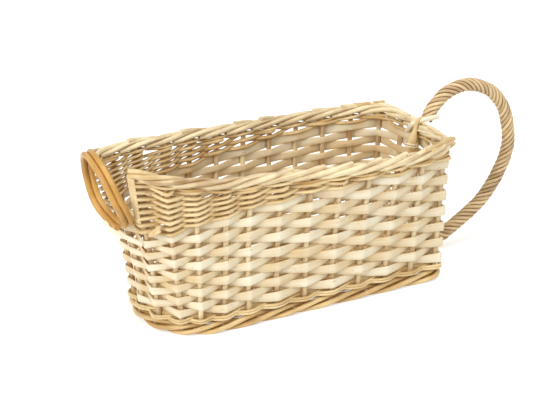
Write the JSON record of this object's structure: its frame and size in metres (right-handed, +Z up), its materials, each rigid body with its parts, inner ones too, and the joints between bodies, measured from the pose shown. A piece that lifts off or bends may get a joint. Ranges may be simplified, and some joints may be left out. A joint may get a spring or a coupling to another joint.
{
  "type": "wine bottle pouring basket",
  "caption": "Woven willow basket that holds a wine bottle lying down for pouring, with a rolled border, a notch and ring for the neck and a twisted bow handle.",
  "frame": {"origin": "middle of the bounding box in plan, on the floor under the foot border", "axes": "+Z up, +X along the basket towards the handle, -X towards the neck ring, -Y the side seen in the picture"},
  "size_m": [0.3699, 0.1201, 0.1382],
  "materials": {
    "willow_skein": "split and shaved willow, pale, satin",
    "willow_rod": "peeled round willow rod, honey coloured, satin",
    "willow_stake": "peeled round willow rod, tan, satin",
    "willow_foot": "peeled round willow rod, darker honey, satin",
    "willow_handle": "twisted willow rods, tan, satin",
    "rattan_ring": "rattan rod, golden orange, satin"
  },
  "bodies": {
    "root": {"base_mat": "willow_rod", "border_rod_1": "willow_rod", "border_rod_2": "willow_rod", "foot_rod_1": "willow_foot", "foot_rod_2": "willow_foot", "foot_rod_3": "willow_foot", "handle_core": "willow_handle", "handle_lashing": "willow_skein", "handle_rope": "willow_handle", "lip_rod": "willow_rod", "neck_ring": "rattan_ring", "packing_far": "willow_rod", "packing_loop": "willow_rod", "packing_near": "willow_rod", "packing_ring_1": "willow_rod", "packing_ring_2": "willow_rod", "ring_holder": "willow_skein", "skein_row_01": "willow_skein", "skein_row_02": "willow_skein", "skein_row_03": "willow_skein", "skein_row_04": "willow_skein", "skein_row_05": "willow_skein", "skein_row_06": "willow_skein", "skein_row_07": "willow_skein", "skein_row_08": "willow_skein", "skein_row_09": "willow_skein", "skein_row_10": "willow_skein", "skein_row_11": "willow_skein", "skein_row_12": "willow_skein", "skein_row_13": "willow_skein", "stake_00": "willow_stake", "stake_01": "willow_stake", "stake_02": "willow_stake", "stake_03": "willow_stake", "stake_04": "willow_stake", "stake_05": "willow_stake", "stake_06": "willow_stake", "stake_07": "willow_stake", "stake_08": "willow_stake", "stake_09": "willow_stake", "stake_10": "willow_stake", "stake_11": "willow_stake", "stake_12": "willow_stake", "stake_13": "willow_stake", "stake_14": "willow_stake", "stake_15": "willow_stake", "stake_16": "willow_stake", "stake_17": "willow_stake", "stake_18": "willow_stake", "stake_19": "willow_stake", "stake_20": "willow_stake", "stake_21": "willow_stake", "stake_22": "willow_stake", "stake_23": "willow_stake", "stake_24": "willow_stake", "stake_25": "willow_stake", "stake_26": "willow_stake", "stake_27": "willow_stake", "wale_rod_1": "willow_rod", "wale_rod_2": "willow_rod"}
  },
  "joints": []
}
